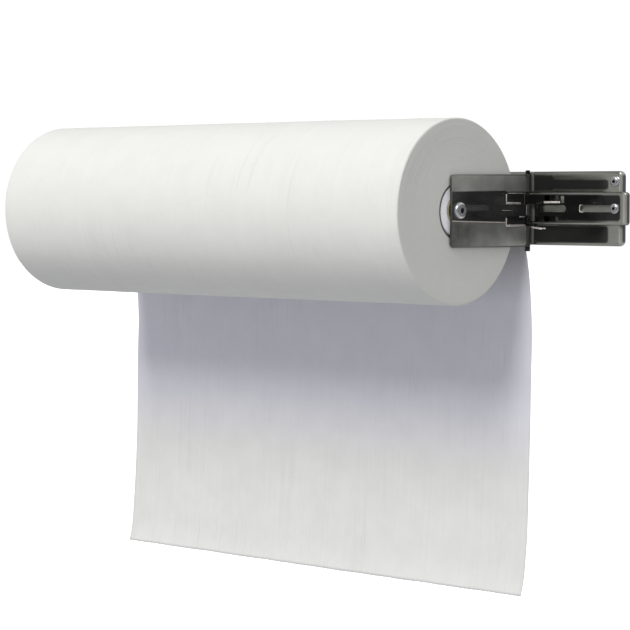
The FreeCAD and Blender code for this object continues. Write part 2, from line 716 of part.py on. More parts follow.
def make_arm_strip():
    """The dark strip along the middle of the arm, which ends in a tongue between the windows."""
    top, bottom, spread = size_of["strip_top"], size_of["strip_bottom"], size_of["strip_spread"]
    free, window = -size_of["strip_end"], -size_of["arm_window_out"]
    root = -size_of["arm_root"] - size_of["strip_root_gap"]
    body = new_body("arm_strip_right")
    outline = new_sketch(body, "YZ_Plane", (arm_outer, 0, 0))
    polygon(
        outline,
        [
            (free, bottom),
            (window, bottom - spread * 2),
            (window, size_of["tongue_bottom"]),
            (root, size_of["tongue_bottom"]),
            (root, size_of["tongue_top"]),
            (window, size_of["tongue_top"]),
            (window, top + spread),
            (free, top),
        ],
    )
    pad(body, outline, size_of["strip_skin"])
    groove = new_sketch(body, "YZ_Plane", (strip_outer, 0, 0))
    rounded_slot(
        groove,
        -size_of["groove_far"],
        -size_of["groove_near"],
        size_of["groove_level"],
        size_of["groove_width"] / 2,
    )
    pocket(body, groove, size_of["groove_depth"])
    fillet(body, size_of["strip_rounding"], lambda edge: near(edge.BoundBox.XMin, strip_outer))
    hole = new_sketch(body, "YZ_Plane", (arm_outer, 0, 0))
    circle(hole, (axle_y, axle_z), size_of["axle_radius"])
    pocket(body, hole, size_of["strip_skin"], reverse=True)
    return body


def make_arm_backing():
    """The leaf on the arm's inner side, behind both windows."""
    margin = size_of["backing_margin"]
    far, near_hinge = -size_of["arm_window_out"] - margin, -size_of["arm_root"] - size_of["strip_root_gap"]
    body = new_body("arm_backing_right")
    outline = new_sketch(body, "YZ_Plane", (arm_inner - size_of["backing_skin"], 0, 0))
    low = size_of["lower_window_bottom"] - margin
    rectangle(outline, far, near_hinge, low, size_of["upper_window_top"] + margin)
    pad(body, outline, size_of["backing_skin"])
    return body


def turned(label, profile):
    """A round piece about the axle. profile lists (x, radius) from the roll's end face outwards."""
    body = new_body(label)
    sketch = new_sketch(body, "XZ_Plane", (0, axle_y, axle_z))
    polygon(sketch, profile)
    revolve(body, sketch, "H_Axis")
    return body


def make_axle_screw():
    radius, head = size_of["axle_radius"], size_of["axle_head_radius"]
    tip = roll_end - size_of["axle_inner_end"]
    top = strip_outer + size_of["axle_head_height"]
    profile = [(tip, 0), (top, 0), (top, head), (strip_outer, head), (strip_outer, radius), (tip, radius)]
    body = turned("axle_screw_right", profile)
    height = size_of["axle_head_height"]
    fillet(body, height * HEAD_ROUNDING, lambda edge: is_ring_of(edge, head) and near(edge.Curve.Center.x, top))
    add_socket(body, (top, axle_y, axle_z), "YZ_Plane", size_of["axle_socket"], height * SOCKET_DEPTH)
    return body


def make_face_washer():
    inner, outer = size_of["axle_radius"], size_of["face_washer_radius"]
    low = hub_face + size_of["washer_gap"]
    return turned("face_washer_right", [(low, inner), (arm_inner, inner), (arm_inner, outer), (low, outer)])


def make_nut_washer():
    inner, outer = size_of["axle_radius"], size_of["nut_washer_radius"]
    high = recess_floor - size_of["washer_gap"]
    low = high - size_of["nut_washer_thickness"]
    return turned("nut_washer_right", [(low, inner), (high, inner), (high, outer), (low, outer)])


def make_lock_nut():
    high = recess_floor - size_of["washer_gap"] - size_of["nut_washer_thickness"]
    body = new_body("lock_nut_right")
    outline = new_sketch(body, "YZ_Plane", (high, axle_y, axle_z))
    hexagon(outline, size_of["lock_nut_flats"])
    pad(body, outline, size_of["lock_nut_height"], reverse=True)
    bore = new_sketch(body, "YZ_Plane", (high, axle_y, axle_z))
    circle(bore, (0, 0), size_of["axle_radius"])
    pocket(body, bore, size_of["lock_nut_height"])
    return body


def make_hub():
    """The plastic hub: a rim, a tapered plug, and a recess for the lock nut at its inner end."""
    bush, recess = size_of["bush_radius"], size_of["hub_recess_radius"]
    rim, plug, tip = size_of["hub_radius"], size_of["hub_plug_radius"], size_of["hub_tip_radius"]
    rim_back = hub_face - size_of["hub_rim"]
    profile = [
        (hub_face, bush),
        (hub_face, rim),
        (rim_back, rim),
        (rim_back, plug),
        (hub_tip, tip),
        (hub_tip, recess),
        (recess_floor, recess),
        (recess_floor, bush),
    ]
    body = turned("hub_right", profile)
    fillet(
        body,
        size_of["hub_rim_rounding"],
        lambda edge: is_ring_of(edge, rim) and near(edge.Curve.Center.x, hub_face),
    )
    fillet(body, size_of["hub_tip_rounding"], lambda edge: is_ring_of(edge, tip))
    return body


def make_hub_bush():
    inner, outer = size_of["axle_radius"] + size_of["running_gap"], size_of["bush_radius"]
    return turned(
        "hub_bush_right",
        [(recess_floor, inner), (hub_face, inner), (hub_face, outer), (recess_floor, outer)],
    )


# ---- the roll and the paper that hangs from it --------------------------------------------------------------


def make_tube(label, inner, outer):
    """A tube about the roll's axis, as long as the roll."""
    body = new_body(label)
    sketch = new_sketch(body, "XZ_Plane", (0, roll_y, roll_z))
    rectangle(sketch, -roll_end, roll_end, inner, outer)
    revolve(body, sketch, "H_Axis")
    return body


def make_hanging_sheet():
    """The free length of paper: it leaves the back of the roll, bends down, hangs straight and curls at its edge."""
    leave = math.radians(size_of["sheet_leave_angle"].value)
    lean = math.radians(size_of["sheet_lean"].value)
    end_lean = math.radians(size_of["sheet_end_lean"].value)
    upper, lower = size_of["sheet_upper_radius"].value, size_of["sheet_lower_radius"].value
    thickness = size_of["sheet_thickness"].value
    start_radius = size_of["roll_diameter"].value / 2 + size_of["sheet_lift"].value
    start = FreeCAD.Vector(0, roll_y.value, roll_z.value) + start_radius * direction(leave)
    upper_centre = start - upper * direction(leave)
    upper_end = upper_centre + upper * direction(-lean)
    down = FreeCAD.Vector(0, -math.sin(lean), -math.cos(lean))
    straight_end = upper_end + size_of["sheet_straight"].value * down
    lower_centre = straight_end - lower * direction(-lean)
    back = thickness * direction(-end_lean)

    def face_edges(offset):
        """The three edges of one side of the paper, offset away from the bends' centres."""
        middle_angle = (leave - lean) / 2
        lower_middle = -(lean + end_lean) / 2
        above = Part.Arc(
            upper_centre + (upper + offset) * direction(leave),
            upper_centre + (upper + offset) * direction(middle_angle),
            upper_centre + (upper + offset) * direction(-lean),
        )
        straight = Part.LineSegment(
            upper_end + offset * direction(-lean),
            straight_end + offset * direction(-lean),
        )
        below = Part.Arc(
            lower_centre + (lower + offset) * direction(-lean),
            lower_centre + (lower + offset) * direction(lower_middle),
            lower_centre + (lower + offset) * direction(-end_lean),
        )
        return [above.toShape(), straight.toShape(), below.toShape()]

    front, rear = face_edges(0), face_edges(thickness)
    top_edge = Part.LineSegment(start, start + thickness * direction(leave)).toShape()
    low_corner = lower_centre + lower * direction(-end_lean)
    low_edge = Part.LineSegment(low_corner, low_corner + back).toShape()
    outline = Part.Wire(Part.__sortEdges__(front + rear + [top_edge, low_edge]))
    width = size_of["sheet_width"].value
    solid = Part.Face(outline).extrude(FreeCAD.Vector(width, 0, 0))
    solid.translate(FreeCAD.Vector(-width / 2, 0, 0))
    paper = doc.addObject("Part::Feature", "hanging_sheet")
    paper.Label = "hanging_sheet"
    paper.Shape = solid
    return paper


def direction(angle):
    """The unit vector in the YZ plane at this angle above +Y."""
    return FreeCAD.Vector(0, math.cos(angle), math.sin(angle))


# ---- assembly and export ------------------------------------------------------------------------------------


def make_all():
    """Every sub-part, as document objects whose labels are the node names."""
    core_inner = size_of["core_bore"] / 2
    core_outer = core_inner + size_of["core_wall"]
    pieces = [
        make_wall_rail(),
        make_end_screw("end_screw_right", 1),
        make_end_screw("end_screw_left", -1),
        make_hanging_sheet(),
        make_tube("roll_core", core_inner, core_outer),
        make_tube("paper_roll", core_outer, size_of["roll_diameter"] / 2),
    ]
    right_hand = [
        make_clamp_screw(),
        make_clamp_nut(),
        make_clamp_plate(),
        make_carriage(),
        make_slot_leaf(),
        make_hinge_pin(),
        make_pin_cap(),
        make_hinge_spring(),
        make_arm_plate(),
        make_arm_backing(),
        make_arm_strip(),
        make_axle_screw(),
        make_face_washer(),
        make_nut_washer(),
        make_lock_nut(),
        make_hub(),
        make_hub_bush(),
    ]
    return pieces + right_hand + [mirror(piece) for piece in right_hand]


def check_and_export(pieces):
    """Stop if anything in the document has failed, then write one STEP file for each sub-part."""
    doc.recompute()
    for thing in doc.Objects:
        bad = [word for word in thing.State if word in ("Invalid", "Error")]
        assert not bad, f"{thing.Label} is {bad}"
    os.makedirs("parts", exist_ok=True)
    for piece in pieces:
        shape = piece.Shape
        assert not shape.isNull() and shape.isValid(), f"{piece.Label} has no valid shape"
        assert len(shape.Solids) == 1, f"{piece.Label} has {len(shape.Solids)} solids"
        shape.exportStep(f"parts/{piece.Label}.step")
        print(f"{piece.Label:24s} {shape.Volume:12.1f} mm3")


check_and_export(make_all())
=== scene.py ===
import json
import math
import random

import bmesh
import bpy
from mathutils import Euler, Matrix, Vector, noise


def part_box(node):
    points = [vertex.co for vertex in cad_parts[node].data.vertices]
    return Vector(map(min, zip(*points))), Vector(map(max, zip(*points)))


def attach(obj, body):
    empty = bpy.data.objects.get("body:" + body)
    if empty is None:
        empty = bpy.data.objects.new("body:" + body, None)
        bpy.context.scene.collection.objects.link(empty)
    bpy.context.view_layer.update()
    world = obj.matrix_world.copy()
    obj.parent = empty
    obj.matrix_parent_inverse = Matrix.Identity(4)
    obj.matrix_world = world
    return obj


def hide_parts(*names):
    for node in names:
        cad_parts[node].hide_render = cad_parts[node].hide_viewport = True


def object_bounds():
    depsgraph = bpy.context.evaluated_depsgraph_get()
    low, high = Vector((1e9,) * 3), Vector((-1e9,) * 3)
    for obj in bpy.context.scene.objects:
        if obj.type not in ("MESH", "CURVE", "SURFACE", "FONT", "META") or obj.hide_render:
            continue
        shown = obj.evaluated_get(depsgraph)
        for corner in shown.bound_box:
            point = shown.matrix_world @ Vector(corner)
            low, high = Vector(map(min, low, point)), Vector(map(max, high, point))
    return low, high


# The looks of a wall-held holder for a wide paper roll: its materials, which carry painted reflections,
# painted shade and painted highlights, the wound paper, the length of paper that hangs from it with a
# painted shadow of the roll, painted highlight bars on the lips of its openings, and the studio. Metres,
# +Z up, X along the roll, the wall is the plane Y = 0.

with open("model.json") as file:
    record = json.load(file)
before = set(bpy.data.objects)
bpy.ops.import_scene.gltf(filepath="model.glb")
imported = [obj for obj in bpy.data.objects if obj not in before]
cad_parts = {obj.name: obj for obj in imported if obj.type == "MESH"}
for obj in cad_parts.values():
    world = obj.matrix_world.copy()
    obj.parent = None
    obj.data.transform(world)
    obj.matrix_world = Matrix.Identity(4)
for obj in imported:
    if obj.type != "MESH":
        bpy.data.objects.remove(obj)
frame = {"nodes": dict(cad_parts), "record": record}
cad_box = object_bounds()
MM = 0.001

roll_low, roll_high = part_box("paper_roll")
core_low, core_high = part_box("roll_core")
ROLL_END = roll_high.x
ROLL_RADIUS = (roll_high.z - roll_low.z) / 2
CORE_RADIUS = (core_high.z - core_low.z) / 2
AXIS = Vector((0, (roll_low.y + roll_high.y) / 2, (roll_low.z + roll_high.z) / 2))


# ---- node trees ---------------------------------------------------------------------------------


NOISE_RANGE = (0.3, 0.7)
NOISE_SUM_RANGE = (0.7, 1.3)
MIX_INPUTS = (0, 6, 7)
MIX_OUTPUT = 2


class Tree:
    """A material's node tree, with short ways to add what these materials use."""

    def __init__(self, name, **sockets):
        self.material = bpy.data.materials.new(name)
        self.material.use_nodes = True
        self.nodes = self.material.node_tree.nodes
        self.links = self.material.node_tree.links
        self.shader = self.nodes["Principled BSDF"]
        for socket, value in sockets.items():
            self.shader.inputs[socket.replace("_", " ")].default_value = value
        self.place = self.nodes.new("ShaderNodeTexCoord").outputs["Object"]

    def add(self, kind, inputs=(), **settings):
        node = self.nodes.new(kind)
        for key, value in settings.items():
            setattr(node, key, value)
        for socket, value in dict(inputs).items():
            if isinstance(value, bpy.types.NodeSocket):
                self.links.new(value, node.inputs[socket])
            else:
                node.inputs[socket].default_value = value
        return node

    def scaled(self, scale):
        """The piece's coordinates, scaled apart along X, Y and Z."""
        inputs = {"Vector": self.place, "Scale": scale}
        return self.add("ShaderNodeMapping", inputs).outputs["Vector"]

    def noise(self, where, scale, detail=4.0, roughness=0.55):
        inputs = {"Vector": where, "Scale": scale, "Detail": detail, "Roughness": roughness}
        return self.add("ShaderNodeTexNoise", inputs).outputs["Fac"]

    def ramp(self, value, low, high, start=0.0, end=1.0):
        """Map a value from start..end onto low..high."""
        inputs = {"Value": value, "From Min": start, "From Max": end, "To Min": low, "To Max": high}
        return self.add("ShaderNodeMapRange", inputs).outputs["Result"]

    def spread(self, value, low, high):
        """Map the usual range of a noise onto low..high."""
        return self.ramp(value, low, high, *NOISE_RANGE)

    def spread_sum(self, first, second, low, high):
        """Map the usual range of two noises' sum onto low..high."""
        return self.ramp(self.maths("ADD", first, second), low, high, *NOISE_SUM_RANGE)

    def maths(self, operation, first, second=0.0):
        node = self.add("ShaderNodeMath", {0: first, 1: second}, operation=operation)
        return node.outputs[0]

    def vector(self, operation, first, second=(0, 0, 0)):
        node = self.add("ShaderNodeVectorMath", {0: first, 1: second}, operation=operation)
        return node.outputs["Value" if operation == "LENGTH" else "Vector"]

    def split(self, where):
        """The X, Y and Z of a place."""
        node = self.add("ShaderNodeSeparateXYZ", {0: where})
        return node.outputs["X"], node.outputs["Y"], node.outputs["Z"]

    def join(self, x=0.0, y=0.0, z=0.0):
        return self.add("ShaderNodeCombineXYZ", {"X": x, "Y": y, "Z": z}).outputs[0]

    def blend(self, factor, first, second):
        """A colour between two colours."""
        node = self.add("ShaderNodeMix", data_type="RGBA")
        for index, value in zip(MIX_INPUTS, (factor, first, second)):
            if isinstance(value, bpy.types.NodeSocket):
                self.links.new(value, node.inputs[index])
            else:
                node.inputs[index].default_value = value
        return node.outputs[MIX_OUTPUT]

    def times(self, first, second):
        node = self.add("ShaderNodeMix", data_type="RGBA", blend_type="MULTIPLY")
        factor, colour, other = MIX_INPUTS
        node.inputs[factor].default_value = 1.0
        self.links.new(first, node.inputs[colour])
        self.links.new(second, node.inputs[other])
        return node.outputs[MIX_OUTPUT]

    def mirrored(self):
        """The piece's coordinates with X made positive, so that both ends of the holder look alike."""
        x, y, z = self.split(self.place)
        return self.join(self.maths("ABSOLUTE", x), y, z)

    def panel(self, where, low, high, corner, soft):
        """1 inside a box with round corners, 0 outside it, with a soft border."""
        centre = tuple((a + b) / 2 for a, b in zip(low, high))
        reach = tuple(max((b - a) / 2 - corner, 0) for a, b in zip(low, high))
        offset = self.vector("ABSOLUTE", self.vector("SUBTRACT", where, centre))
        beyond = self.vector("MAXIMUM", self.vector("SUBTRACT", offset, reach))
        return self.ramp(self.vector("LENGTH", beyond), 1, 0, corner - soft, corner + soft)

    def colour(self, value):
        self.links.new(value, self.shader.inputs["Base Color"])

    def metal(self, value):
        self.links.new(value, self.shader.inputs["Metallic"])

    def rough(self, value):
        self.links.new(value, self.shader.inputs["Roughness"])

    def bump(self, height, distance):
        """Stack a bump of this height, in metres, on the ones already there."""
        normal = self.shader.inputs["Normal"]
        inputs = {"Height": height, "Distance": distance, "Strength": 1.0}
        if normal.links:
            inputs["Normal"] = normal.links[0].from_socket
        self.links.new(self.add("ShaderNodeBump", inputs).outputs["Normal"], normal)


def grey(level, warmth=0.0, green=0.0):
    """A near-grey colour: warmth moves blue down, green moves green up."""
    return (level, level * (1 + green), level * (1 - warmth), 1.0)


# ---- metals and plastics ------------------------------------------------------------------------


WIDE = 1.0
rail_low, rail_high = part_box("wall_rail")
carriage_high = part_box("carriage_right")[1]
pin_low, pin_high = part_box("hinge_pin_right")
RAIL_FACE = rail_low.y
CARRIAGE_DEPTH = 4.5 * MM
CARRIAGE_FACE = carriage_high.y - CARRIAGE_DEPTH
HINGE_X = (pin_low.x + pin_high.x) / 2
BAND_START = HINGE_X + 5.0 * MM
BAND_END = rail_high.x - 14.6 * MM
BAND_CORNER = 3.0 * MM
BAND_SOFT = 0.8 * MM
BAND_WANDER = 0.9 * MM
BAND_DULLNESS = 0.18
END_DULLNESS = 0.6
HINGE_SHADE = 0.55
HINGE_SHADE_REACH = 55 * MM
RIM_WIDTH = 0.5 * MM

# The dark bands, painted reflections, each as its lowest and highest corner.
RAIL_REFLECTION_BANDS = (
    ((BAND_START, -WIDE, 16.1 * MM), (BAND_END, WIDE, 25.2 * MM)),
    ((BAND_START, -WIDE, 14.8 * MM), (HINGE_X + 26 * MM, WIDE, 28.9 * MM)),
    ((BAND_START, -WIDE, -29.2 * MM), (BAND_END, WIDE, -15.3 * MM)),
)
CARRIAGE_REFLECTION_BANDS = (((0, -WIDE, -10.6 * MM), (carriage_high.x - 6.6 * MM, WIDE, 11.5 * MM)),)


def rolled_nickel(name, bands, face_y, corner, end_width, smoke, hinge_dullness):
    """Mirror plating: smoky black bands in front that are painted reflections, paler round them with
    painted shade towards the hinge, dull ends and a painted dark shade along the rim.

    corner is the plate's outermost upper corner, and smoke is how pale the painted black reflection bands
    are.
    """
    tree = Tree(name, Metallic=1.0, Roughness=0.1)
    smears = tree.noise(tree.scaled((14, 60, 60)), 1.0, 5.0)
    marks = tree.noise(tree.scaled((40, 900, 900)), 1.0, 3.0)
    lift = tree.join(z=tree.spread(smears, -BAND_WANDER, BAND_WANDER))
    mirrored = tree.mirrored()
    where = tree.vector("ADD", mirrored, lift)
    along, depth, _ = tree.split(mirrored)
    reflection_band = 0.0
    # The bands are painted reflections: black where the mirror plating would mirror a dark room.
    for low, high in bands:
        reflection_band = tree.maths("MAXIMUM", reflection_band, tree.panel(where, low, high, BAND_CORNER, BAND_SOFT))
    in_front = tree.ramp(depth, 1, 0, face_y + 0.3 * MM, face_y + 0.9 * MM)
    reflection_band = tree.maths("MULTIPLY", reflection_band, in_front)
    # Painted shade: the plain plating darkens towards the hinge, mixed with random clouds.
    hinge_shade_ramp = tree.ramp(along, HINGE_SHADE, 1, HINGE_X, HINGE_X + HINGE_SHADE_REACH)
    hinge_shade_and_clouds = tree.maths("MULTIPLY", hinge_shade_ramp, tree.ramp(smears, 0.8, 1, 0.35, 0.7))
    plain = tree.blend(hinge_shade_and_clouds, grey(0.0), grey(0.56, 0.06, 0.01))
    dark = tree.blend(tree.ramp(smears, 0, 1, 0.35, 0.7), grey(smoke), grey(smoke * 1.4, 0.02))
    # Painted shade: a dark rim along the plate's edge.
    rim_low = (-WIDE, -WIDE, -corner.z + RIM_WIDTH)
    rim_high = (corner.x - 0.4 * MM, WIDE, corner.z - RIM_WIDTH)
    inner = tree.panel(mirrored, rim_low, rim_high, 2.0 * MM, 0.3 * MM)
    tree.colour(tree.blend(inner, grey(0.12), tree.blend(reflection_band, plain, dark)))
    end_start = corner.x - end_width
    dull_end = tree.ramp(along, 0, END_DULLNESS, end_start - 0.4 * MM, end_start + 0.4 * MM)
    by_hinge = tree.ramp(along, hinge_dullness, 0, BAND_START - 1.0 * MM, BAND_START)
    dull_end = tree.maths("MAXIMUM", dull_end, by_hinge)
    dull = tree.maths("MAXIMUM", tree.maths("MULTIPLY", reflection_band, BAND_DULLNESS), dull_end)
    tree.metal(tree.ramp(dull, 1, 0))
    tree.rough(tree.spread_sum(smears, marks, 0.06, 0.17))
    tree.bump(marks, 2e-6)
    return tree.material


ARM_LOW, ARM_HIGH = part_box("arm_plate_right")
ARM_RIM = 1.2 * MM
# How much the painted reflection darkens the lower half towards the axle.
ARM_REFLECTION_SHADE = 0.75
BARREL_ROOM = 5.4 * MM
STRIP_LOW, STRIP_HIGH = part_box("arm_strip_right")
STRIP_FLARE = 1.8 * MM
WINDOW_OUTER = -41.3 * MM
GROOVE_LOW = (-WIDE, -96 * MM, -0.8 * MM)
GROOVE_HIGH = (WIDE, -66 * MM, 2.4 * MM)


def satin_steel():
    """Grey-green satin plating, clouded, brushed along the arm; a painted reflection darkens the lower
    half towards the axle, and painted shade darkens its edge and the barrels.
    """
    tree = Tree("satin_steel", Metallic=0.75, Roughness=0.4, Specular_IOR_Level=0.3)
    where = tree.mirrored()
    lines = tree.noise(tree.scaled((300, 60, 2600)), 1.0, 3.0)
    cloud = tree.noise(tree.scaled((30, 34, 34)), 1.0, 4.0)
    _, depth, height = tree.split(where)
    # Painted reflection: the lower half is darker towards the axle.
    towards_axle = tree.ramp(depth, 1, 0, ARM_LOW.y, -30 * MM)
    lower = tree.ramp(height, 1, 0, -14 * MM, 4 * MM)
    reflection_shade = tree.maths("MULTIPLY", tree.maths("MULTIPLY", towards_axle, lower), ARM_REFLECTION_SHADE)
    tone = tree.maths("SUBTRACT", tree.spread(cloud, 0.55, 1.0), reflection_shade)
    face = tree.blend(tone, grey(0.16, 0.05, 0.025), grey(0.72, 0.06, 0.025))
    # Painted shade: dark along the edge and over the barrels.
    low = (-WIDE, ARM_LOW.y + 0.6 * MM, ARM_LOW.z + ARM_RIM)
    high = (WIDE, ARM_HIGH.y - BARREL_ROOM, ARM_HIGH.z - ARM_RIM)
    flat = tree.panel(where, low, high, 3.2 * MM, 0.5 * MM)
    tree.colour(tree.blend(flat, grey(0.13, 0.04, 0.02), face))
    tree.rough(tree.spread_sum(lines, cloud, 0.32, 0.5))
    tree.bump(lines, 3e-6)
    return tree.material


def black_strip():
    """Black mirror plating on the arm's strip, with a painted paler reflection in the groove and a painted
    highlight along its lower edge.
    """
    tree = Tree("black_strip", Metallic=0.75, Roughness=0.2)
    smears = tree.noise(tree.scaled((60, 30, 90)), 1.0, 5.0)
    where = tree.mirrored()
    _, depth, height = tree.split(where)
    base = tree.blend(tree.spread(smears, 0, 1), grey(0.09), grey(0.15, 0.03))
    # Painted reflection: paler in the groove.
    groove_reflection = tree.panel(where, GROOVE_LOW, GROOVE_HIGH, 1.5 * MM, 0.9 * MM)
    base = tree.blend(groove_reflection, base, grey(0.26, 0.02))
    # Painted highlight along the strip's lower edge, up to the window.
    edge = tree.ramp(depth, STRIP_LOW.z + STRIP_FLARE, STRIP_LOW.z, STRIP_LOW.y, WINDOW_OUTER)
    above = tree.maths("SUBTRACT", height, edge)
    edge_highlight = tree.ramp(above, 1, 0, 0.5 * MM, 1.1 * MM)
    before_window = tree.ramp(depth, 1, 0, WINDOW_OUTER, WINDOW_OUTER + MM)
    edge_highlight = tree.maths("MULTIPLY", edge_highlight, before_window)
    tree.colour(tree.blend(edge_highlight, base, (0.86, 0.74, 0.68, 1)))
    tree.metal(tree.ramp(edge_highlight, 0.75, 0.35))
    tree.rough(tree.spread(smears, 0.16, 0.3))
    tree.bump(tree.noise(tree.place, 700.0, 2.0), 2e-6)
    return tree.material


def lip_highlight():
    """Painted highlights: bright bars along the edges of pressed openings."""
    tree = Tree("lip_highlight", Metallic=0.3, Roughness=0.3)
    cloud = tree.noise(tree.place, 160.0, 4.0)
    tree.colour(tree.blend(cloud, (0.66, 0.62, 0.59, 1), (0.97, 0.91, 0.87, 1)))
    tree.rough(tree.spread(cloud, 0.22, 0.42))
    tree.bump(tree.noise(tree.place, 2200.0, 2.0), 4e-6)
    return tree.material


def bright_zinc():
    """Blue-white zinc plate with a fine grain."""
    tree = Tree("bright_zinc", Metallic=1.0, Roughness=0.25)
    grain = tree.noise(tree.place, 2500.0, 3.0)
    cloud = tree.noise(tree.place, 420.0, 3.0)
    tree.colour(tree.blend(cloud, grey(0.62, -0.03), grey(0.80, -0.05)))
    tree.rough(tree.spread(grain, 0.18, 0.36))
    tree.bump(grain, 6e-6)
    return tree.material


def screw_zinc(node, across):
    """Bright zinc on a button head, with painted shade in the socket and painted reflection rings: a
    bright ring, a darker slope and a bright rim.
    """
    low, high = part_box(node)
    centre = (low + high) / 2
    radius = (high.z - low.z) / 2
    tree = Tree(f"zinc_{node}", Metallic=0.75, Roughness=0.3)
    flat = tree.vector("MULTIPLY", tree.vector("SUBTRACT", tree.mirrored(), tuple(centre)), across)
    share = tree.maths("DIVIDE", tree.vector("LENGTH", flat), radius)
    grain = tree.noise(tree.place, 2500.0, 3.0)
    # Painted reflection: a bright ring, a darker slope and a bright rim.
    past_ring, before_rim = tree.ramp(share, 0, 1, 0.46, 0.6), tree.ramp(share, 1, 0, 0.74, 0.86)
    slope_shade = tree.maths("MULTIPLY", past_ring, before_rim)
    ring = tree.blend(tree.maths("MULTIPLY", slope_shade, 0.75), grey(0.85, -0.05), grey(0.30, -0.04))
    ring = tree.blend(tree.ramp(grain, 0, 0.4, 0.4, 0.8), ring, grey(0.35, -0.03))
    # Painted shade: the socket is near black.
    tree.colour(tree.blend(tree.ramp(share, 1, 0, 0.34, 0.42), ring, grey(0.05)))
    tree.rough(tree.spread(grain, 0.22, 0.4))
    tree.bump(grain, 6e-6)
    return tree.material


def grey_zinc():
    """Dull grey zinc on the plates that show through the slots, with painted shade towards the hinge."""
    tree = Tree("grey_zinc", Metallic=1.0, Roughness=0.4)
    lines = tree.noise(tree.scaled((80, 80, 1800)), 1.0, 3.0)
    cloud = tree.noise(tree.place, 120.0, 4.0)
    along = tree.split(tree.mirrored())[0]
    # Painted shade: near black towards the hinge.
    shade = tree.ramp(along, 1, 0, ROLL_END + 17.5 * MM, ROLL_END + 20.5 * MM)
    unshaded = tree.blend(cloud, grey(0.50, 0.04, 0.01), grey(0.62, 0.05, 0.01))
    tree.colour(tree.blend(shade, unshaded, grey(0.08)))
    tree.rough(tree.spread_sum(lines, cloud, 0.34, 0.5))
    tree.bump(lines, 4e-6)
    return tree.material


def dark_steel():
    """Blackened steel, a little worn."""
    tree = Tree("dark_steel", Metallic=1.0, Roughness=0.35)
    cloud = tree.noise(tree.place, 500.0, 5.0)
    tree.colour(tree.blend(tree.ramp(cloud, 0, 1, 0.45, 0.75), grey(0.05), grey(0.16, 0.03)))
    tree.rough(tree.spread(cloud, 0.25, 0.45))
    tree.bump(tree.noise(tree.place, 3000.0, 2.0), 4e-6)
    return tree.material


def yellow_zinc():
    """Olive-yellow passivated washers, with the colour in clouds."""
    tree = Tree("yellow_zinc", Metallic=1.0, Roughness=0.3)
    cloud = tree.noise(tree.place, 260.0, 4.0)
    tree.colour(tree.blend(cloud, (0.36, 0.34, 0.20, 1), (0.58, 0.53, 0.36, 1)))
    tree.rough(tree.spread(cloud, 0.24, 0.42))
    tree.bump(tree.noise(tree.place, 2600.0, 2.0), 4e-6)
    return tree.material


def turned_brass():
    """Brass with the fine rings that turning leaves."""
    tree = Tree("turned_brass", Metallic=1.0, Roughness=0.25)
    cloud = tree.noise(tree.place, 300.0, 3.0)
    rings = tree.noise(tree.scaled((6000, 60, 60)), 1.0, 2.0)
    tree.colour(tree.blend(cloud, (0.62, 0.47, 0.20, 1), (0.78, 0.62, 0.32, 1)))
    tree.rough(tree.spread(rings, 0.2, 0.36))
    tree.bump(rings, 6e-6)
    return tree.material


def white_plastic():
    """Moulded nylon: a fine spark-eroded grain, a faint cloudiness, and a faint painted glow."""
    tree = Tree("white_plastic", Roughness=0.42, IOR=1.52, Subsurface_Weight=0.1, Subsurface_Scale=0.002)
    # Painted light: a faint glow lifts the nylon out of the shade it sits in.
    tree.shader.inputs["Emission Color"].default_value = (0.95, 0.95, 1.0, 1)
    tree.shader.inputs["Emission Strength"].default_value = 0.2
    cloud = tree.noise(tree.place, 60.0, 4.0)
    tree.colour(tree.blend(cloud, (0.93, 0.93, 0.95, 1), (0.97, 0.97, 0.98, 1)))
    grain = tree.noise(tree.place, 4200.0, 2.0)
    tree.rough(tree.spread(grain, 0.36, 0.5))
    tree.bump(grain, 8e-6)
    return tree.material


# ---- paper and card -----------------------------------------------------------------------------


MIXED_RANGE = (0.32, 0.68)
# How dark the painted shade along the creases is.
CREASE_SHADE = 0.35
ROLL_TONES = (0.872, 0.880, 0.838, 1), (0.915, 0.923, 0.882, 1)
# The painted shade on the hanging length behind the hinges.
SHEET_HINGE_SHADE = (0.46, 0.46, 0.46, 1)


def round_the_axis(tree):
    """The place along the roll's axis, the angle about it, in turns, and the distance from it."""
    x, y, z = tree.split(tree.vector("SUBTRACT", tree.place, tuple(AXIS)))
    turns = tree.maths("DIVIDE", tree.maths("ARCTAN2", z, y), math.tau)
    return x, turns, tree.vector("LENGTH", tree.join(y=y, z=z))


def wound_card():
    """Grey card wound in a spiral, with seams between its strips, and fibres."""
    tree = Tree("wound_card", Roughness=0.9, Specular_IOR_Level=0.25)
    along, turns, _ = round_the_axis(tree)
    strips = tree.maths("FRACT", tree.maths("ADD", tree.maths("MULTIPLY", along, 13.0), turns))
    seam = tree.ramp(tree.maths("ABSOLUTE", tree.maths("SUBTRACT", strips, 0.5)), 0, 1, 0.0, 0.02)
    fibres = tree.noise(tree.scaled((900, 700, 700)), 1.0, 5.0)
    tone = tree.blend(fibres, (0.10, 0.09, 0.095, 1), (0.17, 0.155, 0.16, 1))
    tree.colour(tree.blend(seam, (0.07, 0.06, 0.065, 1), tone))
    tree.bump(seam, 2e-4)
    tree.bump(fibres, 4e-5)
    return tree.material


